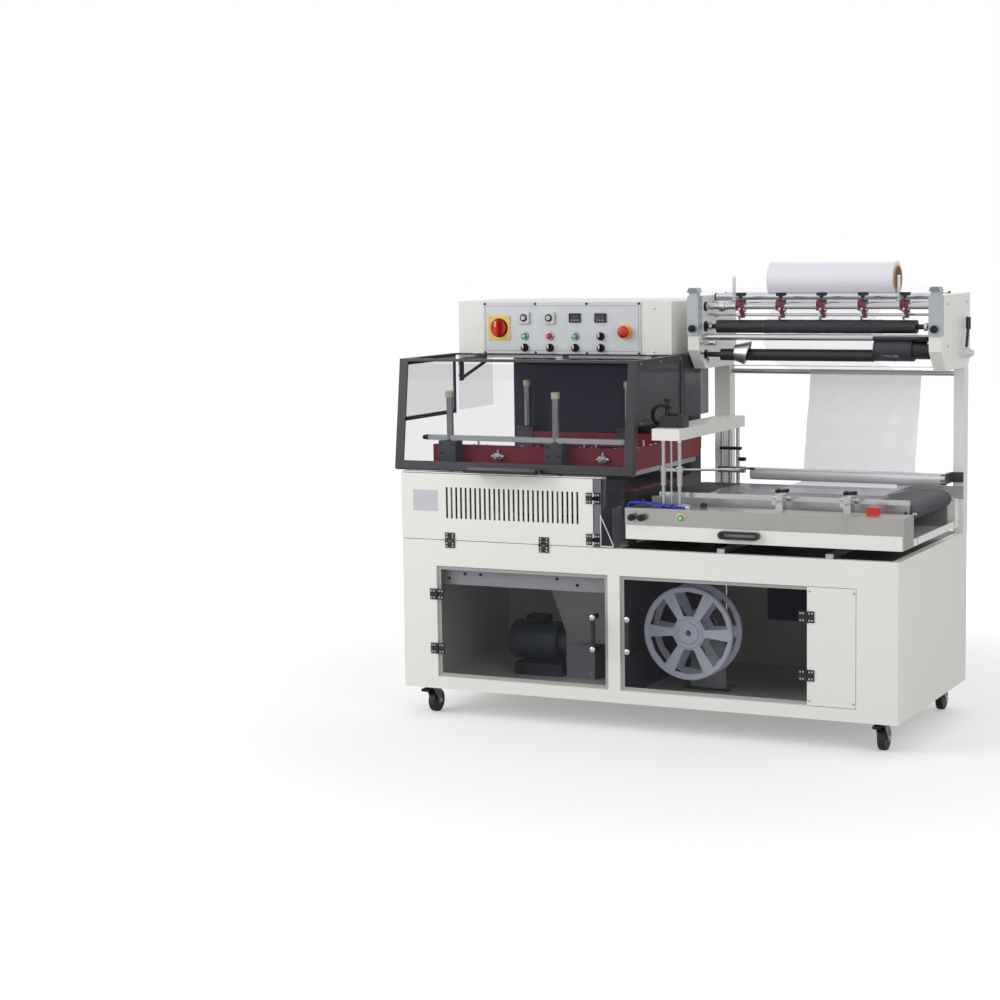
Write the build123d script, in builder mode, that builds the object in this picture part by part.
"""Automatic L bar sealer: cabinet on casters, sealing station, infeed conveyor and film unit.

Positions are read in millimetres from the cabinet's left side, from its front face and from
the floor. The helper functions move them to the part's own frame: +X to the infeed end,
+Y to the back, +Z up, with the origin on the floor under the middle of the whole machine.
"""
import os
from math import asin, atan2, cos, hypot, pi, radians, sin, sqrt, tan

from build123d import *

os.makedirs("parts", exist_ok=True)

# Cabinet
base_length = 1640.0
base_depth = 770.0
base_height = 482.0
caster_height = 95.0
sheet = 3.0
corner_bend = 4.0
front_reach = 60.0
rear_reach = 15.0
left_reach = 20.0
right_reach = 40.0

# Front openings, doors and their stops
left_margin = 123.0
right_margin = 127.0
mullion = 40.0
left_opening_width = 596.0
side_panel_width = 153.0
door_sill = 39.0
door_head = 83.0
stop_lip = 12.0
door_gap = 2.0
door_set_back = 1.0
door_sheet = 5.0
door_clearance = 0.5
hinge_leaf = 20.0
hinge_leaf_thick = 3.0
hinge_half_height = 17.0
hinge_inset = 92.0
hinge_stand_off = 4.0
knuckle_radius = 3.6
hinge_pin_radius = 1.5
running_fit = 0.05
seat_gap = 0.05
knuckle_gap = 0.3
handle_inset = 36.0
handle_length = 120.0
handle_stand_off = 28.0

# Sealing station housing and its louvred front panel
station_length = 735.0
station_wall = 123.0
panel_height = 213.0
panel_length = station_length - 63.0
panel_depth = 12.0
panel_sheet = 2.0
beam_height = 37.0
louvre_count = 28
louvre_first = 165.0
louvre_margin = 52.0
louvre_width = 7.0
louvre_low = 71.0
louvre_high = 171.0
guard_strip = 24.0
guard_reach = 108.0
guard_corner = 40.0

# Belts and rollers
belt_top = 731.0
belt_thick = 2.0
belt_gap = 0.3
roller_radius = 24.0
axle_radius = 6.0
rail_thick = 8.0
outfeed_front = 130.0
outfeed_back = 610.0
outfeed_left = 30.0
outfeed_right = station_length - 23.0

# L shaped jaws and guide posts
jaw_left = 72.0
jaw_right = station_length + 40.0
jaw_front = 90.0
jaw_bar = 25.0
jaw_side_bar = 30.0
jaw_back = 640.0
lower_jaw_top = 745.0
lower_jaw_height = 55.0
pad_height = 4.0
upper_jaw_bottom = 808.0
upper_jaw_height = 67.0
blade_height = 18.0
blade_thick = 4.0
post_radius = 11.0
post_top = 1030.0
post_cap_height = 20.0
post_cap_radius = 14.0
post_left = 148.0
post_right = station_length - 215.0
post_front = 65.0
post_back = 640.0
block_width = 60.0
block_depth = 50.0
block_clearance = 2.0
block_bottom = 822.0
block_height = 70.0
tie_height = 16.0

# Back column, control box and fascia
column_left = 80.0
column_right = station_length - sheet - 0.3
column_front = 675.0
box_left = -8.0
box_right = station_length + 25.0
box_front = 440.0
box_back = 770.0
box_bottom = 1137.0
box_top = 1324.0
fascia_left = 87.0
fascia_right = box_right - 106.0
fascia_bottom = 1149.0
fascia_top = 1320.0
fascia_thick = 4.0
fascia_overlap = 13.0

# Smoked hood
hood_left = -20.0
hood_right = box_right + 45.0
hood_foot_y = -2.0
hood_foot_z = 803.0
hood_brow_y = 45.0
hood_top = 1152.0
hood_back = 426.0
hood_axis_y = 412.0
hood_axis_z = 1141.0
hood_frame_thick = 5.0
hood_border = 30.0
hood_sill = 27.0
hood_side_low = 950.0
hood_side_border = 13.0
acrylic = 4.0
hood_handle_left = 262.0
hood_handle_right = 505.0
guard_back_y = 690.0
stay_x = 105.0
stay_width = 5.0
stay_bracket_y = (218.0, 242.0)
stay_low = 1072.0
stay_rear_y = 400.0

# Film unit
plate_width = 38.0
left_plate_x = station_length + 80.0
plate_front = 442.0
plate_top = 1338.0
plate_bottom = 1104.0
plate_nose_z = 1166.0
plate_nose_y = 501.0
plate_wall = 4.0
film_guard_y = 452.0
stand_post_width = 53.0
right_post_width = 34.0
stand_post_front = 722.0
shaft_y = 500.0
shaft_z = 1304.0
shaft_radius = 10.0
nip_z = 1240.0
nip_radius = 21.0
nip_axle_radius = 8.0
wheel_radius = 15.0
wheel_gap = 0.3
wheel_thick = 5.0
draw_z = 1150.0
draw_radius = 19.0
clamp_first = left_plate_x + 157.0
clamp_last = base_length - 132.0
clamp_count = 5
film_roll_left = left_plate_x + 215.0
film_roll_right = base_length - 195.0
film_roll_y = 640.0
film_roll_z = 1385.0
film_roll_radius = 57.0
core_radius = 42.0
core_bore = 38.0
cradle_radius = 12.0
cradle_half = 45.0
low_bar_y = 746.0
low_bar_z = 1083.0
low_bar_radius = 8.0
web_left = film_roll_left + 98.0
web_width = base_length - 142.0 - web_left
web_thick = 1.0
turn_bar_y = 640.0
turn_bar_z = 755.0
turn_bar_radius = 20.0

# Infeed conveyor carriage
tray_left = station_length + 53.0
tray_overhang = 15.0
tray_front = -15.0
tray_back = 600.0
tray_bottom = 612.0
tray_lip_top = 655.0
console_top = 708.0
console_depth = 100.0
console_sheet = 2.0
infeed_belt_front = 150.0
infeed_belt_back = 550.0
infeed_left_axis = tray_left + 44.0
slide_rail_height = 15.0
slide_rail_width = 24.0
slide_rail_xs = (tray_left + 302.0, base_length - 210.0)
slide_gap = 0.3
slide_block_ys = (165.0, 470.0)
slide_block_length = 70.0
arm_left = tray_left + 72.0
arm_width = 90.0
arm_back = 600.0
arm_bottom = 912.0
arm_height = 35.0
former_rod_radius = 6.0
guide_rail_y = 95.0
guide_rail_z = 740.0
guide_rod_radius = 5.0
guide_block_xs = (base_length - 378.0, base_length - 168.0)

# Casters
caster_inset_x = 68.0
caster_inset_y = 65.0
caster_wheel_radius = 37.0
caster_wheel_width = 24.0
caster_trail = 24.0
caster_plate = 74.0
caster_plate_thick = 4.0
king_pin_radius = 6.0
caster_axle_radius = 4.0
fork_sheet = 3.0

# Waste film reel
reel_x = 935.0
reel_z = 305.0
reel_radius = 147.0
reel_front = 130.0
reel_width = 84.0
reel_flange = 5.0
reel_hub_radius = 34.0
reel_windows = 6
reel_shaft_radius = 12.0

# Worked out places
centre_x = (base_length + right_reach - left_reach) / 2
centre_y = (base_depth + rear_reach - front_reach) / 2
base_z0 = caster_height
base_z1 = caster_height + base_height
door_z0 = base_z0 + door_sill
door_z1 = base_z1 - door_head
door_mid_z = (door_z0 + door_z1) / 2
left_open = (left_margin, left_margin + left_opening_width)
right_open = (left_open[1] + mullion, base_length - right_margin)
smoked_right_end = right_open[1] - side_panel_width
stop_front = door_set_back + door_sheet + door_clearance
stop_back = stop_front + sheet
axis_y = -hinge_stand_off
panel_z0 = base_z1 + door_gap
panel_z1 = base_z1 + panel_height
lip_z0 = panel_z1 + door_gap
lip_z1 = lip_z0 + sheet
lip_depth = post_front - block_depth / 2 - block_clearance
louvre_pitch = (panel_length - louvre_first - louvre_margin) / (louvre_count - 1)
belt_reach = roller_radius + belt_gap + belt_thick
roller_z = belt_top - belt_reach
left_plate = (left_plate_x, left_plate_x + plate_width)
right_plate = (base_length - plate_width, base_length)
inner_span = (left_plate[1], right_plate[0])
plate_back = base_depth + rear_reach
tray_right = base_length + tray_overhang
infeed_right_axis = base_length - roller_radius + 4.0
hood_lean = atan2(hood_brow_y - hood_foot_y, hood_top - hood_foot_z)
hood_slope_length = (hood_top - hood_foot_z) / cos(hood_lean)
wheel_axis_z = nip_z + nip_radius + wheel_radius + wheel_gap
clamp_pitch = (clamp_last - clamp_first) / (clamp_count - 1)
clamp_xs = [clamp_first + clamp_pitch * i for i in range(clamp_count)]
bar_y_front = box_front - fascia_thick


def spot_x(value):
    """Part x of a distance from the cabinet's left side."""
    return value - centre_x


def spot_y(value):
    """Part y of a distance from the cabinet's front face."""
    return value - centre_y


def slab(x, y, z, mode=Mode.ADD, corner=0.0):
    """Upright block over the spans x, y and z, with rounded upright edges if corner is given."""
    with BuildSketch(Plane.XY.offset(z[0])) as plan:
        with Locations((spot_x((x[0] + x[1]) / 2), spot_y((y[0] + y[1]) / 2))):
            if corner:
                RectangleRounded(x[1] - x[0], y[1] - y[0], corner)
            else:
                Rectangle(x[1] - x[0], y[1] - y[0])
    extrude(plan.sketch, amount=z[1] - z[0], mode=mode)


def side_profile(points, x, mode=Mode.ADD, inset=0.0):
    """Outline of (y, z) points carried over the span x, drawn in by inset if given."""
    with BuildSketch(Plane.YZ.offset(spot_x(x[0]))) as face:
        with BuildLine():
            Polyline(*[(spot_y(y), z) for y, z in points], close=True)
        make_face()
        if inset:
            offset(amount=-inset, kind=Kind.INTERSECTION, mode=Mode.REPLACE)
    extrude(face.sketch, amount=x[1] - x[0], mode=mode)


def front_profile(points, y, mode=Mode.ADD):
    """Outline of (x, z) points carried over the span y."""
    with BuildSketch(Plane.XZ.offset(-spot_y(y[0]))) as face:
        with BuildLine():
            Polyline(*[(spot_x(x), z) for x, z in points], close=True)
        make_face()
    extrude(face.sketch, amount=y[0] - y[1], mode=mode)


def plan_profile(points, z, mode=Mode.ADD):
    """Outline of (x, y) points carried over the span z."""
    with BuildSketch(Plane.XY.offset(z[0])) as face:
        with BuildLine():
            Polyline(*[(spot_x(x), spot_y(y)) for x, y in points], close=True)
        make_face()
    extrude(face.sketch, amount=z[1] - z[0], mode=mode)


def bar_along_x(place, x, radius, mode=Mode.ADD):
    """Round bar along X at place (y, z)."""
    with BuildSketch(Plane.YZ.offset(spot_x(x[0]))) as face:
        with Locations((spot_y(place[0]), place[1])):
            Circle(radius)
    extrude(face.sketch, amount=x[1] - x[0], mode=mode)


def bar_along_y(place, y, radius, mode=Mode.ADD):
    """Round bar along Y at place (x, z)."""
    with BuildSketch(Plane.XZ.offset(-spot_y(y[0]))) as face:
        with Locations((spot_x(place[0]), place[1])):
            Circle(radius)
    extrude(face.sketch, amount=y[0] - y[1], mode=mode)


def bar_along_z(place, z, radius, mode=Mode.ADD):
    """Round bar along Z at place (x, y)."""
    with BuildSketch(Plane.XY.offset(z[0])) as face:
        with Locations((spot_x(place[0]), spot_y(place[1]))):
            Circle(radius)
    extrude(face.sketch, amount=z[1] - z[0], mode=mode)


def upright_leaf(axis_x, mid_z, side, face_y, fixed):
    """Half of an upright butt hinge: the leaf lies on face_y, to the left or right of the pin."""
    near = knuckle_radius + 2 * knuckle_gap
    low = mid_z - hinge_half_height
    high = mid_z + hinge_half_height
    third = 2 * hinge_half_height / 3
    leaf_x = sorted((axis_x + side * near, axis_x + side * (near + hinge_leaf)))
    web_x = sorted((axis_x, axis_x + side * near))
    leaf_y = (face_y - hinge_leaf_thick, face_y)
    slab(leaf_x, leaf_y, (low, high))
    if fixed:
        spans = ((low, low + third - knuckle_gap), (high - third + knuckle_gap, high))
    else:
        spans = ((low + third, high - third),)
    for span in spans:
        slab(web_x, leaf_y, span)
        bar_along_z((axis_x, axis_y), span, knuckle_radius)
    if fixed:
        bar_along_z((axis_x, axis_y), (low, high), hinge_pin_radius)
    else:
        bar_along_z((axis_x, axis_y), (low, high), hinge_pin_radius + running_fit, Mode.SUBTRACT)


def level_leaf(mid_x, axis_z, side, fixed):
    """Half of a level butt hinge on the front face: the leaf lies above or below the pin."""
    near = knuckle_radius + 2 * knuckle_gap
    low = mid_x - hinge_half_height
    high = mid_x + hinge_half_height
    third = 2 * hinge_half_height / 3
    leaf_z = sorted((axis_z + side * near, axis_z + side * (near + hinge_leaf)))
    web_z = sorted((axis_z, axis_z + side * near))
    leaf_y = (-hinge_leaf_thick, 0)
    slab((low, high), leaf_y, leaf_z)
    if fixed:
        spans = ((low, low + third - knuckle_gap), (high - third + knuckle_gap, high))
    else:
        spans = ((low + third, high - third),)
    for span in spans:
        slab(span, leaf_y, web_z)
        bar_along_x((axis_y, axis_z), span, knuckle_radius)
    if fixed:
        bar_along_x((axis_y, axis_z), (low, high), hinge_pin_radius)
    else:
        bar_along_x((axis_y, axis_z), (low, high), hinge_pin_radius + running_fit, Mode.SUBTRACT)


def belt_loop(left_axis, right_axis, y):
    """Flat belt round two equal rollers."""
    middle = (left_axis + right_axis) / 2
    with BuildSketch(Plane.XZ.offset(-spot_y(y[0]))) as face:
        with Locations((spot_x(middle), roller_z)):
            SlotCenterToCenter(right_axis - left_axis, 2 * belt_reach)
            SlotCenterToCenter(right_axis - left_axis, 2 * (belt_reach - belt_thick), mode=Mode.SUBTRACT)
    extrude(face.sketch, amount=y[0] - y[1])


def save(part, name):
    """Label a finished piece and write its file."""
    part.label = name
    export_step(part, f"parts/{name}.step")


# Cabinet shell: folded steel, two front openings with stops, partition, rear opening
door_left_hinge_x = left_open[0] + door_clearance
door_right_hinge_x = smoked_right_end + door_clearance
hinge_levels = (door_z0 + hinge_inset, door_z1 - hinge_inset)
panel_hinge_xs = (175.0, panel_length - 167.0)
guard_hinge_levels = (base_z1 + 25.0, base_z1 + 153.0)
rear_opening_x = (110.0, base_length - 110.0)
rear_opening_z = (base_z0 + 60.0, base_z1 - 60.0)
cable_entry = (base_length - 60.0, base_z0 + 105.0)
cable_entry_radius = 10.0
air_inlet = (base_length - 60.0, base_z0 + 175.0)
air_inlet_radius = 12.0
air_inlet_bore = 5.5
caster_xs = (caster_inset_x, base_length - caster_inset_x)
caster_ys = (caster_inset_y, base_depth - caster_inset_y)
rail_top = base_z1 + slide_rail_height

with BuildPart() as base_cabinet:
    slab((0, base_length), (0, base_depth), (base_z0, base_z1), corner=corner_bend)
    slab((sheet, base_length - sheet), (sheet, base_depth - sheet),
         (base_z0 + sheet, base_z1 - sheet), Mode.SUBTRACT)
    for opening in (left_open, right_open):
        slab((opening[0] - sheet, opening[1] + sheet), (sheet, stop_back),
             (door_z0 - sheet, door_z1 + sheet))
        slab(opening, (-sheet, stop_front), (door_z0, door_z1), Mode.SUBTRACT)
        slab((opening[0] + stop_lip, opening[1] - stop_lip), (-sheet, stop_back + sheet),
             (door_z0 + stop_lip, door_z1 - stop_lip), Mode.SUBTRACT)
    wall_x = (left_open[1] + right_open[0] - sheet) / 2
    slab((wall_x, wall_x + sheet), (stop_back, base_depth - sheet),
         (base_z0 + sheet, base_z1 - sheet))
    slab(rear_opening_x, (base_depth - 2 * sheet, base_depth + sheet), rear_opening_z, Mode.SUBTRACT)
    bar_along_y(cable_entry, (base_depth - 2 * sheet, base_depth + sheet), cable_entry_radius,
                Mode.SUBTRACT)
    bar_along_y(air_inlet, (base_depth - sheet, base_depth + rear_reach - sheet), air_inlet_radius)
    bar_along_y(air_inlet, (base_depth - 2 * sheet, base_depth + rear_reach), air_inlet_bore,
                Mode.SUBTRACT)
    for x in slide_rail_xs:
        slab((x - slide_rail_width / 2, x + slide_rail_width / 2), (sheet, tray_back),
             (base_z1 + seat_gap, rail_top))
    for x in caster_xs:
        for y in caster_ys:
            slab((x - caster_plate / 2, x + caster_plate / 2), (y - caster_plate / 2, y + caster_plate / 2),
                 (base_z0 - caster_plate_thick, base_z0), corner=corner_bend)
            bar_along_z((x, y), (base_z0 - 2 * caster_plate_thick, base_z0),
                        king_pin_radius + running_fit, Mode.SUBTRACT)
save(base_cabinet.part, "base_cabinet")

# Flush front panel beside the right door, and two louvred rear panels
front_pan = (smoked_right_end + door_gap, right_open[1] - door_gap)
rear_panel_overlap = 20.0
rear_slot_count = 12
rear_slot_pitch = 34.0
with BuildPart() as service_panels:
    slab(front_pan, (0, stop_front), (door_z0 + door_gap, door_z1 - door_gap))
    slab((front_pan[0] + stop_lip, front_pan[1] - stop_lip), (panel_sheet, stop_front + sheet),
         (door_z0 + stop_lip, door_z1 - stop_lip), Mode.SUBTRACT)
    rear_half = (rear_opening_x[1] - rear_opening_x[0]) / 2
    for x0 in (rear_opening_x[0], rear_opening_x[0] + rear_half):
        edges = (x0 - rear_panel_overlap * (x0 == rear_opening_x[0]) + door_gap / 2,
                 x0 + rear_half + rear_panel_overlap * (x0 != rear_opening_x[0]) - door_gap / 2)
        slab(edges, (base_depth, base_depth + panel_sheet),
             (rear_opening_z[0] - rear_panel_overlap, rear_opening_z[1] + rear_panel_overlap))
        slot_centre = x0 + rear_half / 2
        with BuildSketch(Plane.XZ.offset(-spot_y(base_depth))) as vents:
            with Locations((spot_x(slot_centre), (rear_opening_z[0] + rear_opening_z[1]) / 2)):
                with GridLocations(rear_slot_pitch, 1, rear_slot_count, 1):
                    SlotOverall(150, 10, rotation=90)
        extrude(vents.sketch, amount=-panel_sheet, mode=Mode.SUBTRACT)
save(service_panels.part, "service_panels")

# Fixed leaves of the door and panel hinges
with BuildPart() as cabinet_hinges:
    for level in hinge_levels:
        upright_leaf(door_left_hinge_x, level, -1, 0, fixed=True)
        upright_leaf(door_right_hinge_x, level, 1, 0, fixed=True)
    for x in panel_hinge_xs:
        level_leaf(x, base_z1 + door_gap / 2, -1, fixed=True)
save(cabinet_hinges.part, "cabinet_hinges")


def smoked_door(x, hinge_x, side, handle_x):
    """Acrylic door in its opening, and its black hinge leaves and pull handle."""
    with BuildPart() as pane:
        slab(x, (door_set_back, door_set_back + door_sheet), (door_z0 + door_gap, door_z1 - door_gap))
        fillet(pane.edges().filter_by(Axis.Y), 3)
    grip_z = (door_mid_z - handle_length / 2, door_mid_z + handle_length / 2)
    with BuildPart() as fittings:
        for level in hinge_levels:
            upright_leaf(hinge_x, level, side, door_set_back, fixed=False)
        for z in (grip_z[0] + 9, grip_z[1] - 9):
            bar_along_y((handle_x, z), (-handle_stand_off, door_set_back), 6.0)
        bar_along_z((handle_x, -handle_stand_off), grip_z, 7.0)
        fillet(fittings.edges().filter_by(GeomType.CIRCLE).group_by(Axis.Y)[0], 1.5)
    return pane.part, fittings.part


left_pane, left_fittings = smoked_door((left_open[0] + door_gap, left_open[1] - door_gap),
                                       door_left_hinge_x, 1, left_open[1] - handle_inset - door_gap)
right_pane, right_fittings = smoked_door((right_open[0] + door_gap, smoked_right_end),
                                         door_right_hinge_x, -1, right_open[0] + handle_inset + door_gap)
save(left_pane, "left_door")
save(right_pane, "right_door")
save(left_fittings, "left_door_fittings")
save(right_fittings, "right_door_fittings")

# Station housing: low walls, corner posts, front beam with lip, and the outfeed conveyor bed
post_size = 30.0
bed_rails = ((outfeed_front - 4 - rail_thick, outfeed_front - 4),
             (outfeed_back + 4, outfeed_back + 4 + rail_thick))
bed_top = belt_top - belt_thick - belt_gap
rail_low = roller_z - 45.0
wall_notch = 10.0
leg = 25.0
leg_xs = (60.0, station_length - 95.0)
outfeed_rail_x = (5.0, station_length - 8.0)
with BuildPart() as station_housing:
    slab((0, station_length), (panel_depth + door_gap, base_depth), (base_z1, base_z1 + station_wall))
    slab((sheet, station_length - sheet), (0, base_depth - sheet),
         (base_z1, base_z1 + station_wall), Mode.SUBTRACT)
    slab((station_length - 2 * sheet, station_length + sheet),
         (jaw_front - wall_notch, jaw_back + wall_notch),
         (rail_low, base_z1 + station_wall + sheet), Mode.SUBTRACT)
    for x0 in (0, panel_length + guard_strip + 4 - post_size):
        slab((x0, x0 + post_size), (panel_depth + door_gap, lip_depth), (base_z1, lip_z0))
    slab((0, panel_length + guard_strip + 6), (panel_depth + door_gap, lip_depth),
         (lip_z0 - beam_height, lip_z0))
    slab((0, panel_length + guard_strip + 6), (0, lip_depth), (lip_z0 + seat_gap, lip_z1))
    for y in bed_rails:
        slab(outfeed_rail_x, y, (rail_low, bed_top))
        for x in leg_xs:
            slab((x, x + leg), y, (base_z1, rail_low))
    slab((outfeed_left + roller_radius + 6, outfeed_right - roller_radius - 6),
         (bed_rails[0][0], bed_rails[1][1]), (bed_top - 4, bed_top))
    bar_along_y((outfeed_right, roller_z), (bed_rails[0][1], bed_rails[1][0]), roller_radius)
    bar_along_y((outfeed_left, roller_z), (bed_rails[0][0], bed_rails[1][1]),
                axle_radius + running_fit, Mode.SUBTRACT)
save(station_housing.part, "station_housing")

with BuildPart() as outfeed_belt:
    belt_loop(outfeed_left, outfeed_right, (outfeed_front, outfeed_back))
save(outfeed_belt.part, "outfeed_belt")


def conveyor_roller(axis_x, y, rails):
    """Drive roller with its stub axles in the side rails."""
    with BuildPart() as roller:
        bar_along_y((axis_x, roller_z), y, roller_radius)
        bar_along_y((axis_x, roller_z), (rails[0][0], rails[1][1]), axle_radius)
        fillet(roller.edges().filter_by(GeomType.CIRCLE).filter_by(lambda e: e.radius > axle_radius), 1.0)
    return roller.part


save(conveyor_roller(outfeed_left, (outfeed_front, outfeed_back), bed_rails), "outfeed_roller")

# Louvred front panel of the station, a folded pan with upright slots
panel_x = (door_set_back, panel_length)
with BuildPart() as louvre_panel:
    slab(panel_x, (0, panel_depth), (panel_z0, panel_z1))
    slab((panel_x[0] + panel_sheet, panel_x[1] - panel_sheet), (panel_sheet, panel_depth + 1),
         (panel_z0 + panel_sheet, panel_z1 - panel_sheet), Mode.SUBTRACT)
    louvre_mid_x = louvre_first + louvre_pitch * (louvre_count - 1) / 2
    with BuildSketch(Plane.XZ.offset(-spot_y(0))) as louvres:
        with Locations((spot_x(louvre_mid_x), base_z1 + (louvre_low + louvre_high) / 2)):
            with GridLocations(louvre_pitch, 1, louvre_count, 1):
                Rectangle(louvre_width, louvre_high - louvre_low)
    extrude(louvres.sketch, amount=-panel_sheet, mode=Mode.SUBTRACT)
    for x in panel_hinge_xs:
        level_leaf(x, base_z1 + door_gap / 2, 1, fixed=False)
    guard_axis_x = panel_length + door_gap
    for level in guard_hinge_levels:
        upright_leaf(guard_axis_x, level, -1, 0, fixed=True)
save(louvre_panel.part, "louvre_panel")

# Smoked guard door on the panel's right edge: edge strip, hinge leaves and acrylic sheet
guard_x0 = guard_axis_x + door_gap
guard_x1 = guard_x0 + guard_strip
with BuildPart() as guard_door:
    slab((guard_x0, guard_x1), (0, panel_depth - 2), (panel_z0, panel_z1))
    with BuildSketch(Plane.XZ.offset(-spot_y(panel_sheet))) as pane:
        with Locations((spot_x(guard_x1 - 6), panel_z0)):
            Rectangle(guard_reach - guard_strip, panel_z1 - panel_z0, align=(Align.MIN, Align.MIN))
        fillet(pane.vertices().group_by(Axis.X)[-1].sort_by(Axis.Y)[0], guard_corner)
    extrude(pane.sketch, amount=-acrylic)
    for level in guard_hinge_levels:
        upright_leaf(guard_axis_x, level, 1, 0, fixed=False)
save(guard_door.part, "guard_door")

# Lower L jaw with its silicone strip, on three pillars
jaw_outline = [
    (jaw_left, jaw_front), (jaw_right, jaw_front), (jaw_right, jaw_back),
    (jaw_right - jaw_side_bar, jaw_back), (jaw_right - jaw_side_bar, jaw_front + jaw_bar),
    (jaw_left, jaw_front + jaw_bar),
]
strip_inset = 7.0
strip_outline = [
    (jaw_left, jaw_front + strip_inset), (jaw_right - strip_inset, jaw_front + strip_inset),
    (jaw_right - strip_inset, jaw_back), (jaw_right - jaw_side_bar + strip_inset, jaw_back),
    (jaw_right - jaw_side_bar + strip_inset, jaw_front + jaw_bar - strip_inset),
    (jaw_left, jaw_front + jaw_bar - strip_inset),
]
pillar = 20.0
jaw_pillars = ((jaw_left + 30, jaw_front + 2), (jaw_right - jaw_side_bar + 5, jaw_front + 2),
               (jaw_right - jaw_side_bar + 5, jaw_back - 30))
with BuildPart() as lower_jaw:
    plan_profile(jaw_outline, (lower_jaw_top - lower_jaw_height, lower_jaw_top))
    plan_profile(strip_outline, (lower_jaw_top, lower_jaw_top + pad_height))
    for x, y in jaw_pillars:
        slab((x, x + pillar), (y, y + pillar), (base_z1, lower_jaw_top - lower_jaw_height))
save(lower_jaw.part, "lower_jaw")

# Four guide posts with caps
post_places = [(x, y) for x in (post_left, post_right) for y in (post_front, post_back)]
with BuildPart() as guide_posts:
    for place in post_places:
        bar_along_z(place, (base_z1, post_top), post_radius)
        bar_along_z(place, (base_z1, base_z1 + 12), post_radius + 9)
        bar_along_z(place, (post_top, post_top + post_cap_height), post_cap_radius)
    fillet(guide_posts.edges().filter_by(GeomType.CIRCLE).group_by(Axis.Z)[-1], 2)
save(guide_posts.part, "guide_posts")

# Upper L jaw: bars, sealing blade, bearing blocks on the posts and tie bar
block_top = block_bottom + block_height
blade_inset = (jaw_bar - blade_thick) / 2
side_blade_inset = (jaw_side_bar - blade_thick) / 2
with BuildPart() as upper_jaw:
    plan_profile(jaw_outline, (upper_jaw_bottom, upper_jaw_bottom + upper_jaw_height))
    slab((post_left - block_width / 2, jaw_right), (post_back - 20, post_back + 20),
         (block_bottom + 8, block_top - 16))
    slab((jaw_left, jaw_right - side_blade_inset),
         (jaw_front + blade_inset, jaw_front + blade_inset + blade_thick),
         (upper_jaw_bottom - blade_height, upper_jaw_bottom))
    slab((jaw_right - side_blade_inset - blade_thick, jaw_right - side_blade_inset),
         (jaw_front + blade_inset, jaw_back), (upper_jaw_bottom - blade_height, upper_jaw_bottom))
    for x, y in post_places:
        slab((x - block_width / 2, x + block_width / 2), (y - block_depth / 2, y + block_depth / 2),
             (block_bottom, block_top))
    slab((jaw_left, jaw_right - jaw_side_bar + 3), (post_front - 10, post_front + 10),
         (block_top, block_top + tie_height))
    for place in post_places:
        bar_along_z(place, (upper_jaw_bottom, block_top + 2 * tie_height), post_radius + running_fit,
                    Mode.SUBTRACT)
save(upper_jaw.part, "upper_jaw")

# Back column and the dark beam that carries the right rear guard
beam_low = box_bottom - 32.0
beam_top = box_bottom + 13.0
beam_back = 650.0
with BuildPart() as support_column:
    slab((column_left, column_right), (column_front, base_depth - sheet), (base_z1, box_bottom))
    slab((column_left + sheet, column_right - sheet), (column_front + sheet, base_depth - 2 * sheet),
         (base_z1 + sheet, box_bottom - sheet), Mode.SUBTRACT)
    slab((box_right, hood_right), (box_front, beam_back), (beam_low, beam_top))
save(support_column.part, "support_column")

# Control box: folded housing with a front opening and the hood's hinge brackets
hood_hinge_xs = (box_left + 68.0, (box_left + box_right) / 2, box_right - 70.0)
bracket_width = 24.0
hood_knuckle = 5.5
hood_knuckle_length = 18.0
hood_pin = 3.0
hinge_notch = 1.0
pane_clearance = 1.0
stay_flange = 14.0
with BuildPart() as control_box:
    slab((box_left, box_right), (box_front, box_back), (box_bottom, box_top))
    fillet(control_box.edges().filter_by(Axis.Y).group_by(Axis.Z)[-1], 5)
    slab((box_left + sheet, box_right - sheet), (box_front + sheet, box_back - sheet),
         (box_bottom + sheet, box_top - sheet), Mode.SUBTRACT)
    slab((fascia_left + fascia_overlap, fascia_right - fascia_overlap),
         (box_front - sheet, box_front + 2 * sheet),
         (fascia_bottom + fascia_overlap, fascia_top - fascia_overlap), Mode.SUBTRACT)
    for x in hood_hinge_xs:
        half = (x - bracket_width / 2, x + bracket_width / 2)
        slab(half, (hood_axis_y, box_front + 20), (box_bottom - hood_knuckle, box_bottom))
        bar_along_x((hood_axis_y, hood_axis_z), half, hood_knuckle)
        bar_along_x((hood_axis_y, hood_axis_z), half, hood_pin + running_fit, Mode.SUBTRACT)
save(control_box.part, "control_box")

# Control positions on the fascia, read left to right
control_columns = 4
column_step = (fascia_right - fascia_left - 201.0) / control_columns
button_xs = [fascia_left + 152.0 + column_step * i for i in range(control_columns)]
timer_row = 1269.0
button_row = 1209.0
selector_row = 1171.0
main_switch_place = (fascia_left + 59.0, 1236.0)
stop_place = (fascia_right - 54.0, 1224.0)
bezel_radius = 13.5
bezel_depth = 4.0
button_radius = 9.0
selector_shaft = 5.0
stem_back = box_front + 8.0
button_places = [(x, button_row) for x in button_xs[:3]]
selector_places = [(button_xs[3], button_row)] + [(x, selector_row) for x in button_xs]

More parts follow.
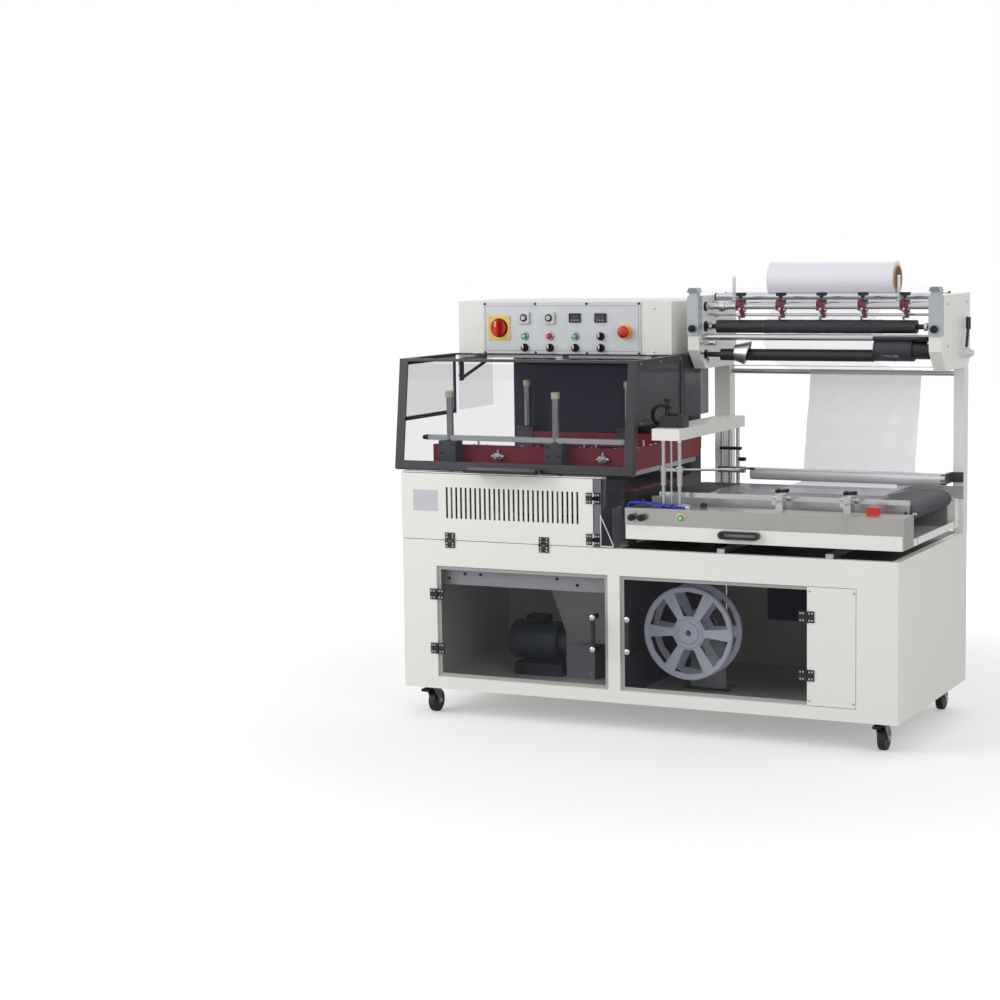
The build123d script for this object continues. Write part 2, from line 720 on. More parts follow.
with BuildPart() as control_fascia:
    slab((fascia_left, fascia_right), (bar_y_front, box_front), (fascia_bottom, fascia_top))
    for place in button_places + selector_places:
        bar_along_y(place, (bar_y_front - bezel_depth, bar_y_front), bezel_radius)
    for x in button_xs[:2]:
        bar_along_y((x, timer_row), (bar_y_front - 8, bar_y_front), 17.0)
        bar_along_y((x, timer_row), (bar_y_front - 14, bar_y_front - 8), 7.0)
    for x in button_xs[2:]:
        slab((x - 18, x + 18), (bar_y_front - 5, bar_y_front), (timer_row - 13, timer_row + 13))
    switch_x, switch_z = main_switch_place
    slab((switch_x - 40, switch_x + 40), (bar_y_front - 3, bar_y_front), (switch_z - 40, switch_z + 40))
    bar_along_y(stop_place, (bar_y_front - 3, bar_y_front), 25.0)
    for place in button_places:
        bar_along_y(place, (bar_y_front - 20, box_front + 1), button_radius + running_fit, Mode.SUBTRACT)
    for place in selector_places + [main_switch_place]:
        bar_along_y(place, (bar_y_front - 20, box_front + 1), selector_shaft + running_fit, Mode.SUBTRACT)
    bar_along_y(stop_place, (bar_y_front - 20, box_front + 1), button_radius + running_fit, Mode.SUBTRACT)
save(control_fascia.part, "control_fascia")

button_names = ("start_button", "stop_button", "ready_button")
for name, place in zip(button_names, button_places):
    with BuildPart() as button:
        bar_along_y(place, (bar_y_front - bezel_depth - 6, stem_back), button_radius)
        fillet(button.edges().filter_by(GeomType.CIRCLE).group_by(Axis.Y)[0], 2.0)
    save(button.part, name)

selector_names = ("mode_selector", "seal_selector", "feed_selector", "film_selector", "belt_selector")
for name, place in zip(selector_names, selector_places):
    front = bar_y_front - bezel_depth - knuckle_gap
    with BuildPart() as selector:
        bar_along_y(place, (front - 5, front), 11.0)
        bar_along_y(place, (front, stem_back), selector_shaft)
        slab((place[0] - 3.5, place[0] + 3.5), (front - 15, front - 5), (place[1] - 10.5, place[1] + 10.5))
        fillet(selector.edges().filter_by(Axis.Z).group_by(Axis.Y)[0], 1.5)
    save(selector.part, name)

with BuildPart() as main_switch:
    face = bar_y_front - 3 - knuckle_gap
    bar_along_y(main_switch_place, (face - 8, face), 27.0)
    bar_along_y(main_switch_place, (face, stem_back), selector_shaft)
    slab((switch_x - 7, switch_x + 7), (face - 30, face - 8), (switch_z - 26, switch_z + 26))
    fillet(main_switch.edges().filter_by(Axis.Z).group_by(Axis.Y)[0], 4)
save(main_switch.part, "main_switch")

stop_plane = Plane(origin=(spot_x(stop_place[0]), spot_y(bar_y_front), stop_place[1]), x_dir=(1, 0, 0))
stop_stem = stem_back - bar_y_front
with BuildPart() as emergency_stop:
    with BuildSketch(stop_plane) as cap:
        with BuildLine():
            Line((0, stop_stem), (0, -32))
            ThreePointArc((0, -32), (15, -28), (20, -18))
            Polyline((20, -18), (17, -12), (button_radius, -12), (button_radius, stop_stem), (0, stop_stem))
        make_face()
    revolve(cap.sketch, axis=Axis(stop_plane.origin, (0, 1, 0)))
save(emergency_stop.part, "emergency_stop")

# Hood: slanted front frame, side frames, top rails, hinge knuckles, stay bracket and bar handle
front_plane = Plane(origin=(spot_x(hood_left), spot_y(hood_foot_y), hood_foot_z), x_dir=(1, 0, 0),
                    z_dir=(0, -cos(hood_lean), sin(hood_lean)))
hood_width = hood_right - hood_left


def slope_y(z, back=0.0):
    """Depth of the hood's slanted front at height z, moved back square to the slope."""
    run = (hood_brow_y - hood_foot_y) / (hood_top - hood_foot_z)
    return hood_foot_y + (z - hood_foot_z) * run + back / cos(hood_lean)


side_outline = [
    (hood_foot_y, hood_foot_z), (hood_brow_y, hood_top), (hood_back, hood_top),
    (hood_back, hood_side_low), (slope_y(hood_side_low, hood_border), hood_side_low),
    (slope_y(hood_foot_z, hood_border), hood_foot_z),
]
window_low = hood_side_low + hood_side_border
window_top = hood_top - 22.0
side_window = [
    (slope_y(window_low, hood_border), window_low), (slope_y(window_top, hood_border), window_top),
    (hood_back - hood_side_border, window_top), (hood_back - hood_side_border, window_low),
]
left_frame = (hood_left, hood_left + hood_frame_thick)
right_frame = (hood_right - hood_frame_thick, hood_right)
top_rail = 24.0
with BuildPart() as hood_frame:
    with BuildSketch(front_plane) as front_face:
        Rectangle(hood_width, hood_slope_length, align=(Align.MIN, Align.MIN))
        with Locations((hood_border, hood_sill)):
            Rectangle(hood_width - 2 * hood_border, hood_slope_length - hood_sill - 8,
                      align=(Align.MIN, Align.MIN), mode=Mode.SUBTRACT)
    extrude(front_face.sketch, amount=-hood_frame_thick)
    for x in (left_frame, right_frame):
        side_profile(side_outline, x)
        side_profile(side_window, x, Mode.SUBTRACT)
    top_skin = (hood_top - hood_frame_thick, hood_top)
    slab((hood_left, hood_right), (hood_brow_y, hood_brow_y + top_rail), top_skin)
    slab((hood_left, hood_right), (hood_back - top_rail, hood_back), top_skin)
    for x in ((hood_left, hood_left + top_rail), (hood_right - top_rail, hood_right)):
        slab(x, (hood_brow_y, hood_back), top_skin)
    for x in hood_hinge_xs:
        notch = bracket_width / 2 + hinge_notch
        slab((x - notch, x + notch), (hood_axis_y - hood_knuckle - hinge_notch, hood_back + sheet), top_skin,
             Mode.SUBTRACT)
        knuckle = (x + notch, x + notch + hood_knuckle_length)
        slab(knuckle, (hood_axis_y - hood_knuckle, hood_axis_y), (hood_axis_z, top_skin[0]))
        bar_along_x((hood_axis_y, hood_axis_z), knuckle, hood_knuckle)
        bar_along_x((hood_axis_y, hood_axis_z), (x - bracket_width / 2, knuckle[1]), hood_pin)
    stay_span = (stay_x, stay_x + stay_width)
    slab(stay_span, (stay_bracket_y[0], hood_back - top_rail), (top_skin[0] - stay_flange, top_skin[0]))
    slab(stay_span, stay_bracket_y, (stay_low, top_skin[0]))
    stay_bar = [
        (stay_bracket_y[0] + 4, stay_low + 4), (stay_bracket_y[0] + 4, stay_low + 14),
        (stay_rear_y, top_skin[0] - stay_flange), (stay_rear_y, top_skin[0] - stay_flange - 10),
    ]
    side_profile(stay_bar, (stay_span[1], stay_span[1] + stay_width))
    slab((stay_x, stay_span[1] + stay_width), (stay_rear_y - 12, stay_rear_y + 2),
         (top_skin[0] - stay_flange - 10, top_skin[0]))
    for x in (hood_handle_left + 14, hood_handle_right - 14):
        slab((x - 10, x + 10), (-front_reach + 16, hood_foot_y + 4), (hood_foot_z + 4, hood_foot_z + 10))
    handle_profile = [
        (-front_reach, hood_foot_z - 1), (-front_reach, hood_foot_z + 7),
        (-front_reach + 8, hood_foot_z + 13),
        (-front_reach + 20, hood_foot_z + 13), (-front_reach + 24, hood_foot_z + 8),
        (-front_reach + 22, hood_foot_z - 1),
    ]
    side_profile(handle_profile, (hood_handle_left, hood_handle_right))
save(hood_frame.part, "hood_frame")

# Smoked acrylic of the hood: front, top and side panes behind the frame
with BuildPart() as hood_glass:
    with BuildSketch(front_plane.offset(-hood_frame_thick)) as front_pane:
        with Locations((hood_border / 2, 8)):
            Rectangle(hood_width - hood_border, hood_slope_length - 22, align=(Align.MIN, Align.MIN))
    extrude(front_pane.sketch, amount=-acrylic)
    slab((hood_left + 16, hood_right - 16), (hood_brow_y + 12, hood_axis_y - 2 * hood_knuckle),
         (top_skin[0] - acrylic, top_skin[0]))
    pane_outline = [
        (slope_y(window_low - 6, 16), window_low - 6), (slope_y(window_top + 5, 16), window_top + 5),
        (hood_back - 7, window_top + 5), (hood_back - 7, window_low - 6),
    ]
    side_profile(pane_outline, (left_frame[1], left_frame[1] + acrylic))
    side_profile(pane_outline, (right_frame[0] - acrylic, right_frame[0]))
    slab((stay_x - pane_clearance, stay_x + 2 * stay_width + pane_clearance),
         (stay_bracket_y[0] - pane_clearance, hood_back), (stay_low, hood_top), Mode.SUBTRACT)
save(hood_glass.part, "hood_glass")

# Film unit: two posts on the cabinet, two hollow side plates with front blocks, caps and knobs
plate_outline = [
    (plate_front, plate_top), (plate_front, plate_nose_z), (plate_nose_y, plate_bottom),
    (plate_back - 25, plate_bottom), (plate_back, plate_bottom + 25), (plate_back, plate_top),
]
block_low = 1213.0
block_front = plate_front - 6.0
block_back = plate_front + 30.0
cradle_drop = sqrt((film_roll_radius + cradle_radius + 0.3) ** 2 - cradle_half ** 2)
cradle_z = film_roll_z - cradle_drop
cradle_ys = (film_roll_y - cradle_half, film_roll_y + cradle_half)
axle_places = ((shaft_y, nip_z), (shaft_y, draw_z), (cradle_ys[0], cradle_z), (cradle_ys[1], cradle_z))
lever_place = (675.0, 1152.0)
lever_shaft = 8.0
left_post_x = (left_plate[1] - stand_post_width, left_plate[1])
right_post_x = (base_length - right_post_width, base_length)
with BuildPart() as film_stand:
    for x in (left_post_x, right_post_x):
        slab(x, (stand_post_front, base_depth), (base_z1, plate_bottom))
        slab((x[0] + sheet, x[1] - sheet), (stand_post_front + sheet, base_depth - sheet),
             (base_z1 + sheet, plate_bottom - sheet), Mode.SUBTRACT)
    for x in (left_plate, right_plate):
        side_profile(plate_outline, x)
        side_profile(plate_outline, (x[0] + plate_wall, x[1] - plate_wall), Mode.SUBTRACT, inset=plate_wall)
        slab(x, (block_front, block_back), (block_low, plate_top - 2))
        mid = (x[0] + x[1]) / 2
        slab((mid - 14, mid + 14), (block_front + 4, block_back - 4), (plate_top - 2, plate_top + 12))
        half = plate_width / 2
        cap_outline = [(mid - half, plate_top + 12), (mid + half, plate_top + 12),
                       (mid + half - 7, plate_top + 26), (mid - half + 7, plate_top + 26)]
        front_profile(cap_outline, (block_front - 3, block_back + 3))
        bar_along_y((mid, block_low + 22), (block_front - 11, block_front), 12.0)
    for place in axle_places:
        bar_along_x(place, (left_plate[1] - plate_wall, right_plate[0] + plate_wall),
                    nip_axle_radius + running_fit, Mode.SUBTRACT)
    bar_along_x(lever_place, (right_plate[1] - plate_wall, right_plate[1]), lever_shaft + running_fit,
                Mode.SUBTRACT)
save(film_stand.part, "film_stand")

# Fixed bars between the plates and the posts, roll stops and the draw motor
motor_left = base_length - 221.0
motor_step = base_length - 100.0
motor_place = (shaft_y, 1170.0)
stop_xs = (left_plate_x + 112.0, base_length - 168.0)
rear_plate_left = base_length - 216.0
rear_plate_z = (686.0, 726.0)
thin_rod_z = 1277.0
silver_bar_z = 1207.0
turn_bracket = 12.0
turn_bracket_z = (turn_bar_z - 16.0, turn_bar_z + 16.0)
stop_bar_y = film_roll_y - cradle_half - 30.0
stop_bar_z = 1314.0
with BuildPart() as film_bars:
    bar_along_x((shaft_y, shaft_z), inner_span, shaft_radius)
    bar_along_x((shaft_y + 26, thin_rod_z), inner_span, 4.0)
    bar_along_x((shaft_y - 24, silver_bar_z), inner_span, 10.0)
    posts_span = (left_post_x[1], right_post_x[0])
    bar_along_x((low_bar_y, low_bar_z), posts_span, low_bar_radius)
    slab(posts_span, (low_bar_y - 10, low_bar_y + 10), (low_bar_z + 18, low_bar_z + 20))
    bar_along_x((turn_bar_y, turn_bar_z), (arm_left + arm_width + 8, right_post_x[0]), turn_bar_radius)
    slab((right_post_x[0] - turn_bracket, right_post_x[0]), (turn_bar_y - 8, stand_post_front),
         turn_bracket_z)
    slab((right_post_x[0] - turn_bracket, right_post_x[1]), (stand_post_front - 8, stand_post_front),
         turn_bracket_z)
    slab((rear_plate_left, right_post_x[1]), (stand_post_front - sheet, stand_post_front), rear_plate_z)
    bar_along_x((stop_bar_y, stop_bar_z), inner_span, 6.0)
    for x in stop_xs:
        bar_along_z((x, stop_bar_y), (stop_bar_z, stop_bar_z + 78), 5.0)
    bar_along_x(motor_place, (motor_left, motor_step), 37.0)
    bar_along_x(motor_place, (motor_step, inner_span[1]), 30.0)
    bar_along_x((shaft_y, draw_z), (motor_left - 1, inner_span[1] + plate_wall),
                nip_axle_radius + running_fit, Mode.SUBTRACT)
save(film_bars.part, "film_bars")

# Film guard strip and the two smoked guards behind the hood
with BuildPart() as fixed_guards:
    slab(inner_span, (film_guard_y, film_guard_y + acrylic), (plate_top - 12, plate_top + 25))
    slab((box_left - 5, box_left), (box_front, guard_back_y), (hood_side_low + 10, beam_top))
    slab((hood_right - 5, hood_right), (box_front, beam_back), (hood_side_low, beam_low))
save(fixed_guards.part, "fixed_guards")


def film_roller(place, x, radius):
    """Roller between the side plates with its axle in their inner walls."""
    with BuildPart() as roller:
        bar_along_x(place, x, radius)
        bar_along_x(place, (inner_span[0] - plate_wall + 0.5, inner_span[1] + plate_wall - 0.5),
                    nip_axle_radius)
    return roller.part


save(film_roller(axle_places[0], (inner_span[0] + 42, inner_span[1] - 53), nip_radius), "nip_roller")
save(film_roller(axle_places[1], (inner_span[0] + 55, motor_left - 6), draw_radius), "draw_roller")
for name, place in zip(("cradle_roller_front", "cradle_roller_rear"), axle_places[2:]):
    save(film_roller(place, (inner_span[0] + 2, inner_span[1] - 2), cradle_radius), name)

# Perforating wheels on a common axle, and the clamps that hold them on the upper shaft
with BuildPart() as perforator_wheels:
    wheel_place = (shaft_y, wheel_axis_z)
    bar_along_x(wheel_place, (clamp_xs[0] - 12, clamp_xs[-1] + 18), 4.0)
    for x in clamp_xs:
        bar_along_x(wheel_place, (x - wheel_thick / 2, x + wheel_thick / 2), wheel_radius)
        bar_along_x(wheel_place, (x - 5, x + 5), 7.0)
save(perforator_wheels.part, "perforator_wheels")

clamp_outline = [
    (shaft_y - 17, shaft_z + 20), (shaft_y + 17, shaft_z + 20), (shaft_y + 17, shaft_z - 14),
    (shaft_y + 8, wheel_axis_z - 9), (shaft_y - 8, wheel_axis_z - 9), (shaft_y - 17, shaft_z - 8),
]
with BuildPart() as perforator_clamps:
    for x in clamp_xs:
        side_profile(clamp_outline, (x + 6, x + 14))
        bar_along_x((shaft_y, shaft_z), (x - 12, x + 6), 16.0)
        bar_along_z((x + 2, shaft_y), (shaft_z + 12, shaft_z + 32), 3.5)
        slab((x - 12, x + 16), (shaft_y - 4, shaft_y + 4), (shaft_z + 32, shaft_z + 40))
        bar_along_x((shaft_y, shaft_z), (x - 13, x + 15), shaft_radius + 0.2, Mode.SUBTRACT)
        bar_along_x(wheel_place, (x - 13, x + 15), 4.0 + running_fit, Mode.SUBTRACT)
        bar_along_x(wheel_place, (x - 13, x + 5.5), wheel_radius + 1, Mode.SUBTRACT)
save(perforator_clamps.part, "perforator_clamps")

# Film roll on its core
with BuildPart() as film_roll:
    roll_place = (film_roll_y, film_roll_z)
    bar_along_x(roll_place, (film_roll_left, film_roll_right), film_roll_radius)
    bar_along_x(roll_place, (film_roll_left - 3, film_roll_right + 3), core_radius)
    bar_along_x(roll_place, (film_roll_left - 3, film_roll_right + 3), core_bore, Mode.SUBTRACT)
save(film_roll.part, "film_roll")

# Film web: down from the low bar, round the turning bar and forward over the belt
web_gap = 0.8
web_y = low_bar_y - low_bar_radius - web_gap
wrap = turn_bar_radius + web_gap + web_thick / 2
run_y = web_y - turn_bar_y
run_z = low_bar_z - turn_bar_z
web_lean = atan2(run_y, run_z) - asin(wrap / hypot(run_y, run_z))
web_corner = (turn_bar_y + wrap * tan((pi / 2 - web_lean) / 2), turn_bar_z - wrap)
web_end_y = 330.0
with BuildPart() as film_web:
    with BuildSketch(Plane.YZ.offset(spot_x(web_left))) as strip:
        with BuildLine():
            FilletPolyline((spot_y(web_y), low_bar_z), (spot_y(web_corner[0]), web_corner[1]),
                           (spot_y(web_end_y), web_corner[1]), radius=wrap)
        trace(line_width=web_thick)
    extrude(strip.sketch, amount=web_width)
save(film_web.part, "film_web")

# Infeed tray: folded pan, slide blocks, conveyor side rails, slider bed, nose bar and rear beam
infeed_rails = ((infeed_belt_front - 4 - rail_thick, infeed_belt_front - 4),
                (infeed_belt_back + 4, infeed_belt_back + 4 + rail_thick))
rear_beam_y = (tray_back - 34, tray_back)
rear_beam_top = 700.0
pull_x = (tray_left + 306.0, tray_left + 435.0)
pull_z = 638.0
with BuildPart() as infeed_tray:
    slab((tray_left, tray_right), (tray_front, tray_back), (tray_bottom, tray_bottom + sheet))
    slab((tray_left, tray_right), (tray_front, tray_front + sheet), (tray_bottom, tray_lip_top))
    for x in ((tray_left, tray_left + sheet), (tray_right - sheet, tray_right)):
        slab(x, (tray_front, tray_back), (tray_bottom, tray_bottom + 22))
    slab((tray_left, tray_right), rear_beam_y, (tray_bottom, rear_beam_top))
    slab((tray_left + sheet, tray_right - sheet), (rear_beam_y[0] + sheet, rear_beam_y[1] - sheet),
         (tray_bottom + sheet, rear_beam_top - sheet), Mode.SUBTRACT)
    for y in infeed_rails:
        slab((infeed_left_axis - 20, infeed_right_axis + 12), y, (tray_bottom + sheet, bed_top))
    slab((infeed_left_axis + roller_radius + 6, infeed_right_axis - roller_radius - 6),
         (infeed_rails[0][0], infeed_rails[1][1]), (bed_top - 4, bed_top))
    bar_along_y((infeed_left_axis, roller_z), (infeed_rails[0][1], infeed_rails[1][0]), roller_radius)
    for x in slide_rail_xs:
        for y in slide_block_ys:
            slab((x - 20, x + 20), (y, y + slide_block_length), (rail_top + slide_gap, tray_bottom))
    bar_along_y((infeed_right_axis, roller_z), (infeed_rails[0][0], infeed_rails[1][1]),
                axle_radius + running_fit, Mode.SUBTRACT)
    with BuildSketch(Plane.XZ.offset(-spot_y(tray_front))) as pull:
        with Locations((spot_x(sum(pull_x) / 2), pull_z)):
            SlotOverall(pull_x[1] - pull_x[0], 24)
            SlotOverall(pull_x[1] - pull_x[0] - 22, 10, mode=Mode.SUBTRACT)
    extrude(pull.sketch, amount=20)
save(infeed_tray.part, "infeed_tray")

with BuildPart() as infeed_belt:
    belt_loop(infeed_left_axis, infeed_right_axis, (infeed_belt_front, infeed_belt_back))
save(infeed_belt.part, "infeed_belt")
save(conveyor_roller(infeed_right_axis, (infeed_belt_front, infeed_belt_back), infeed_rails),
     "infeed_roller")

# Stainless console along the front of the tray, with guide blocks and star knobs on top
console_x = (tray_left - 2, tray_right)
end_plate = 5.0
seam_xs = (tray_left + 97.0, tray_right - 165.0)
tray_button_place = (tray_left + 182.0, 683.0)
console_knob_xs = (tray_left + 25.0, tray_left + 57.0)
console_knob_z = 680.0
top_knob_place = (tray_left + 226.0, 60.0)
red_block_x = (tray_right - 125.0, tray_right - 89.0)
block_half = 11.0
guide_block_y = 57.0
console_back = tray_front + console_depth
with BuildPart() as infeed_console:
    slab(console_x, (tray_front, console_back), (tray_lip_top, console_top))
    slab((console_x[0] + console_sheet, console_x[1] - console_sheet),
         (tray_front + console_sheet, console_back - console_sheet),
         (tray_lip_top, console_top - console_sheet), Mode.SUBTRACT)
    slab((console_x[1], console_x[1] + end_plate), (tray_front, console_back), (tray_bottom + 2, console_top))
    for x in seam_xs:
        slab((x - 0.6, x + 0.6), (tray_front, tray_front + 0.8), (tray_lip_top, console_top), Mode.SUBTRACT)
    bar_along_y(tray_button_place, (tray_front - 3, tray_front), 14.0)
    bar_along_y(tray_button_place, (tray_front - 4, tray_front + console_sheet),
                button_radius + running_fit, Mode.SUBTRACT)
    for x in console_knob_xs:
        bar_along_y((x, console_knob_z), (tray_front - 16, tray_front), 11.0)
    bar_along_z(top_knob_place, (console_top, console_top + 10), 11.0)
    slab(red_block_x, (40.0, 64.0), (console_top, console_top + 22))
    for x in guide_block_xs:
        slab((x - block_half, x + block_half), (guide_block_y - 19, guide_block_y + 19),
             (console_top, guide_rail_z + 18))
        bar_along_z((x, guide_block_y), (guide_rail_z + 18, guide_rail_z + 24), 5.0)
        with BuildSketch(Plane.XY.offset(guide_rail_z + 24)) as star:
            with Locations((spot_x(x), spot_y(guide_block_y))):
                Circle(12)
                with PolarLocations(12, 5):
                    Circle(5)
        extrude(star.sketch, amount=9)
        bar_along_y((x, guide_rail_z), (30.0, 80.0), guide_rod_radius + running_fit, Mode.SUBTRACT)
save(infeed_console.part, "infeed_console")

with BuildPart() as tray_button:
    bar_along_y(tray_button_place, (tray_front - 8, tray_front + 8), button_radius)
    fillet(tray_button.edges().filter_by(GeomType.CIRCLE).group_by(Axis.Y)[0], 2.0)
save(tray_button.part, "tray_button")

# Product guide: rail along the belt on two rods that slide through the guide blocks
with BuildPart() as product_guide:
    slab((tray_left + 67, tray_right - 10), (guide_rail_y, guide_rail_y + 4),
         (guide_rail_z - 7, guide_rail_z + 8))
    for x in guide_block_xs:
        bar_along_y((x, guide_rail_z), (0, guide_rail_y), guide_rod_radius)
        bar_along_y((x, guide_rail_z), (-8, 0), guide_rod_radius + 3)
save(product_guide.part, "product_guide")

# Film former: white arm cover on front and rear rods, collars and the slanting film rod
arm_x_span = (arm_left, arm_left + arm_width)
arm_top = arm_bottom + arm_height
front_rod_xs = (arm_left + 29.0, arm_left + 82.0)
rear_rod_xs = (arm_left + 18.0, arm_left + 45.0, arm_left + 72.0)
front_rod_y = 45.0
rear_rod_y = 583.0
collar_z = 822.0
cross_bar_z = 776.0
cross_bar_end = base_length - 255.0
block_y = (70.0, 120.0)
block_pin_x = arm_left + 24.0
with BuildPart() as film_former:
    slab(arm_x_span, (25.0, arm_back), (arm_bottom, arm_top))
    slab((arm_x_span[0] + sheet, arm_x_span[1] - sheet), (25.0 + sheet, arm_back - sheet),
         (arm_bottom, arm_top - sheet), Mode.SUBTRACT)
    for x in front_rod_xs:
        bar_along_z((x, front_rod_y), (console_top, arm_top - sheet), former_rod_radius)
        bar_along_z((x, front_rod_y), (collar_z - 45, collar_z - 7), former_rod_radius + 2.5)
        bar_along_z((x, front_rod_y), (collar_z - 7, collar_z + 9), former_rod_radius + 5)
    bar_along_z((sum(front_rod_xs) / 2, front_rod_y), (console_top, arm_top - sheet), 3.0)
    slab(front_rod_xs, (front_rod_y - 4, front_rod_y + 4), (collar_z - 5, collar_z + 5))
    for x in rear_rod_xs:
        bar_along_z((x, rear_rod_y), (rear_beam_top, arm_top - sheet), former_rod_radius)
    slab((rear_rod_xs[0] - 12, rear_rod_xs[-1] + 24), (rear_rod_y - 9, rear_rod_y + 9),
         (collar_z - 60, collar_z - 40))
    bar_along_x((rear_rod_y, cross_bar_z), (rear_rod_xs[-1] + 20, cross_bar_end), 4.0)
    rod_start = Vector(spot_x(front_rod_xs[1]), spot_y(front_rod_y), collar_z)
    rod_end = Vector(spot_x(rear_rod_xs[-1] + 14), spot_y(rear_rod_y), collar_z - 50)
    with BuildSketch(Plane(origin=rod_start, z_dir=rod_end - rod_start)) as slant:
        Circle(4)
    extrude(slant.sketch, amount=(rod_end - rod_start).length)
    slab((arm_left + 6, arm_left + 84), block_y, (arm_top, arm_top + 36))
    bar_along_z((block_pin_x, sum(block_y) / 2), (arm_top + 36, arm_top + 82), 8.0)
save(film_former.part, "film_former")

# Air tubes from the former's cylinders along the console top and down behind the guard
tube_radius = 3.0
tube_pitch = 7.0
tube_count = 4
tube_first_y = 14.0
tube_level = console_top + tube_radius + 0.3
tube_step = 9.0
tube_start = tray_left + 187.0
tube_drop_x = tray_left - 6.0
tube_bend = 15.0


def bend_radii(points):
    """Bend radius at each inner point of a route, from its shorter run and its turn."""
    radii = []
    for before, corner, after in zip(points, points[1:], points[2:]):
        run_in = Vector(*corner) - Vector(*before)
        run_out = Vector(*after) - Vector(*corner)
        half_turn = radians(run_in.get_angle(run_out)) / 2
        radii.append(0.45 * min(run_in.length, run_out.length) / tan(half_turn))
    return radii


with BuildPart() as air_tubes:
    for i in range(tube_count):
        y = tube_first_y + tube_pitch * i
        route = [(tube_start - tube_step * i, y, tube_level), (tray_left + 117, y, tube_level),
                 (tray_left + 52, y + 1, tube_level + 10), (tube_drop_x, y + 2, tube_level + 9),
                 (tube_drop_x, y + 2, tube_level - 34)]
        radii = bend_radii(route)[:-1] + [tube_bend]
        print("air tube", i, "bend radii", [round(r, 1) for r in radii])
        with BuildLine() as path:
            FilletPolyline(*[(spot_x(px), spot_y(py), pz) for px, py, pz in route], radius=radii)
        with BuildSketch(path.line ^ 0):
            Circle(tube_radius)
        sweep(path=path.line)
save(air_tubes.part, "air_tubes")

# Lever of the nip roller on the right plate
lever_x = (base_length + 0.3, base_length + right_reach)
grip_y = 701.0
grip_z = (1226.0, 1264.0)
with BuildPart() as nip_lever:
    bar_along_x(lever_place, (base_length - plate_wall + 0.5, lever_x[0]), lever_shaft)
    bar_along_x(lever_place, (lever_x[0], lever_x[1] - 10), 15.0)
    bar_along_x(lever_place, (lever_x[1] - 10, lever_x[1]), 10.0)
    mid_x = lever_x[0] + 16
    side_profile([(lever_place[0] - 4, lever_place[1]), (lever_place[0] + 8, lever_place[1]),
                  (grip_y + 4, grip_z[0] + 6), (grip_y - 4, grip_z[0] + 6)], (mid_x - 4, mid_x + 4))
    bar_along_z((mid_x, grip_y), grip_z, 8.0)
    fillet(nip_lever.edges().filter_by(GeomType.CIRCLE).group_by(Axis.Z)[-1], 3)
save(nip_lever.part, "nip_lever")

# Waste film reel: two spoked flanges with turned rims, drum hub with hexagon socket, and shaft
window_inner = 52.0
window_outer = 122.0
window_half_in = 17.0
window_half_out = 48.0
rim_depth = 5.0
rim_width = 8.0
hex_socket = 11.0
reel_shaft_end = 330.0
reel_back = reel_front + reel_width
reel_window = [
    (window_inner, -window_half_in), (window_outer, -window_half_out), (window_outer + rim_width, 0),
    (window_outer, window_half_out), (window_inner, window_half_in),
]
with BuildPart() as waste_reel:
    for y0 in (reel_front, reel_back - reel_flange):
        with BuildSketch(Plane.XZ.offset(-spot_y(y0))) as flange:
            with Locations((spot_x(reel_x), reel_z)):
                Circle(reel_radius)
                with PolarLocations(0, reel_windows, start_angle=180 / reel_windows):
                    Polygon(*reel_window, align=None, mode=Mode.SUBTRACT)
        extrude(flange.sketch, amount=-reel_flange)
        with BuildSketch(Plane.XZ.offset(-spot_y(y0 - rim_depth))) as rim:
            with Locations((spot_x(reel_x), reel_z)):
                Circle(reel_radius)
                Circle(reel_radius - rim_width, mode=Mode.SUBTRACT)
        extrude(rim.sketch, amount=-rim_depth)
    bar_along_y((reel_x, reel_z), (reel_front - rim_depth, reel_back), reel_hub_radius)
    bar_along_y((reel_x, reel_z), (reel_back, reel_shaft_end), reel_shaft_radius)
    with BuildSketch(Plane.XZ.offset(-spot_y(reel_front - rim_depth))) as socket:
        with Locations((spot_x(reel_x), reel_z)):
            RegularPolygon(hex_socket, 6)
    extrude(socket.sketch, amount=-reel_width / 2, mode=Mode.SUBTRACT)
save(waste_reel.part, "waste_reel")

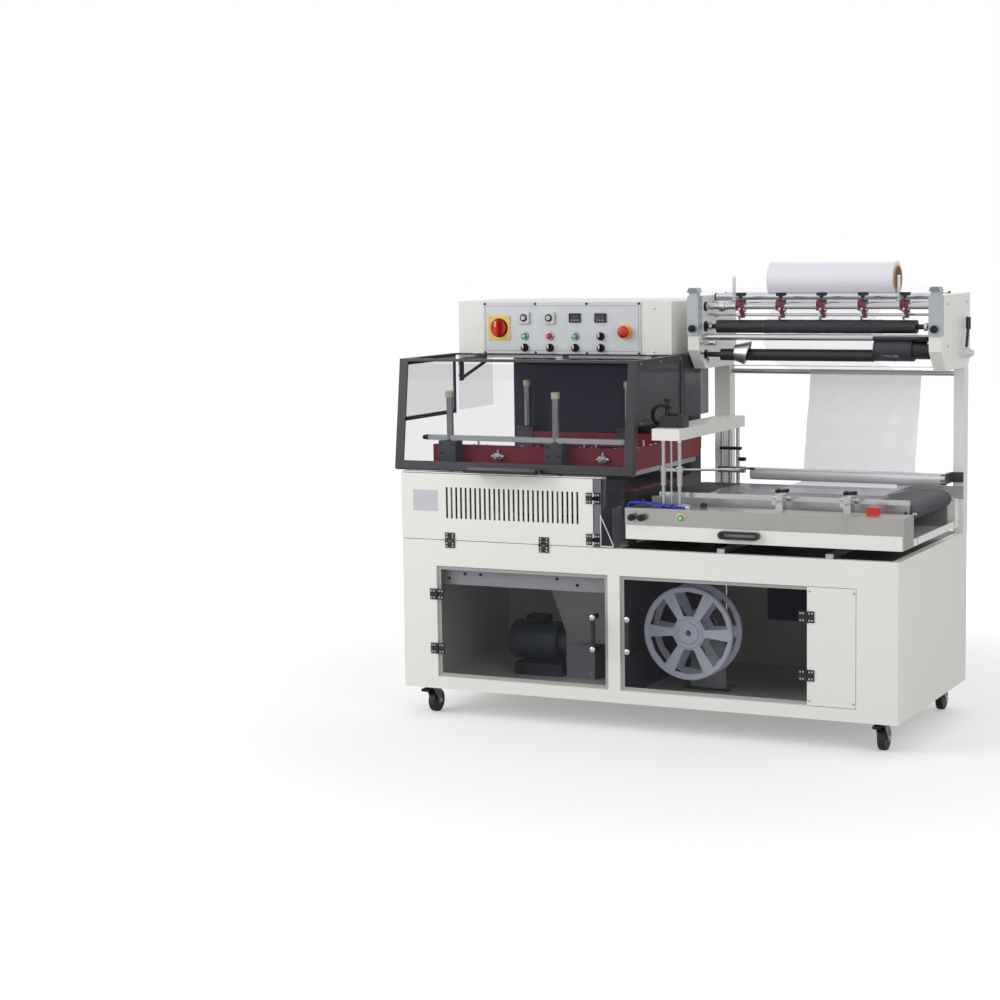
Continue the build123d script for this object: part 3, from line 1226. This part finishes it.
# Drives in the two bays: reel bearing plate and motor, jaw motor with gearbox, waste chute
floor = base_z0 + sheet
bearing_y = 300.0
gearbox_x = (440.0, 540.0)
gearbox_y = (300.0, 420.0)
jaw_motor_place = (360.0, floor + 110)
chute_left = 470.0
chute = [(60.0, base_z1 - 70), (63.0, base_z1 - 70), (260.0, floor + 130), (257.0, floor + 130)]
with BuildPart() as bay_drives:
    slab((reel_x - 60, reel_x + 60), (bearing_y, bearing_y + 10), (floor, reel_z + 45))
    slab((reel_x - 75, reel_x + 75), (bearing_y - 20, bearing_y + 70), (floor, floor + 6))
    bar_along_y((reel_x, reel_z), (bearing_y - 14, bearing_y + 24), 28.0)
    bar_along_y((reel_x, reel_z), (bearing_y - 15, reel_shaft_end + 1), reel_shaft_radius + running_fit,
                Mode.SUBTRACT)
    slab((gearbox_x[0] - 190, gearbox_x[0] - 20), gearbox_y, (floor, floor + 40))
    bar_along_x(jaw_motor_place, (gearbox_x[0] - 210, gearbox_x[0] - 40), 62.0)
    bar_along_x(jaw_motor_place, (gearbox_x[0] - 40, gearbox_x[0]), 45.0)
    slab(gearbox_x, gearbox_y, (floor, floor + 190))
    side_profile(chute, (chute_left, wall_x))
save(bay_drives.part, "bay_drives")


def caster(x, y, name, brake):
    """Swivel fork with king pin and axle, and its wheel."""
    wheel_y = y + caster_trail
    wheel_z = caster_wheel_radius
    plate_low = base_z0 - caster_plate_thick
    fork_top = plate_low - knuckle_gap
    inner = caster_wheel_width / 2 + 1.5
    with BuildPart() as fork:
        bar_along_z((x, y), (fork_top - 5, plate_low + 3), king_pin_radius)
        bar_along_z((x, y), (fork_top - 8, fork_top), 24.0)
        cheek = [(y - 20, fork_top - 4), (y + 26, fork_top - 4), (wheel_y + 10, wheel_z - 4),
                 (wheel_y + 4, wheel_z - 10), (wheel_y - 8, wheel_z - 8)]
        for x0 in (x - inner - fork_sheet, x + inner):
            side_profile(cheek, (x0, x0 + fork_sheet))
        slab((x - inner - fork_sheet, x + inner + fork_sheet), (y - 20, y + 26), (fork_top - 8, fork_top - 4))
        bar_along_x((wheel_y, wheel_z), (x - inner - 6, x + inner + 6), caster_axle_radius)
        if brake:
            slab((x - 12, x + 12), (y - 46, y - 18), (fork_top - 8, fork_top - 4))
    with BuildPart() as wheel:
        bar_along_x((wheel_y, wheel_z), (x - caster_wheel_width / 2, x + caster_wheel_width / 2),
                    caster_wheel_radius)
        fillet(wheel.edges().filter_by(GeomType.CIRCLE), 4)
        bar_along_x((wheel_y, wheel_z), (x - inner + 0.2, x + inner - 0.2), 11.0)
        bar_along_x((wheel_y, wheel_z), (x - inner, x + inner), caster_axle_radius + running_fit,
                    Mode.SUBTRACT)
    save(fork.part, f"caster_fork_{name}")
    save(wheel.part, f"caster_wheel_{name}")


for side_name, x in zip(("left", "right"), caster_xs):
    for end_name, y in zip(("front", "rear"), caster_ys):
        caster(x, y, f"{end_name}_{side_name}", brake=(end_name == "front"))
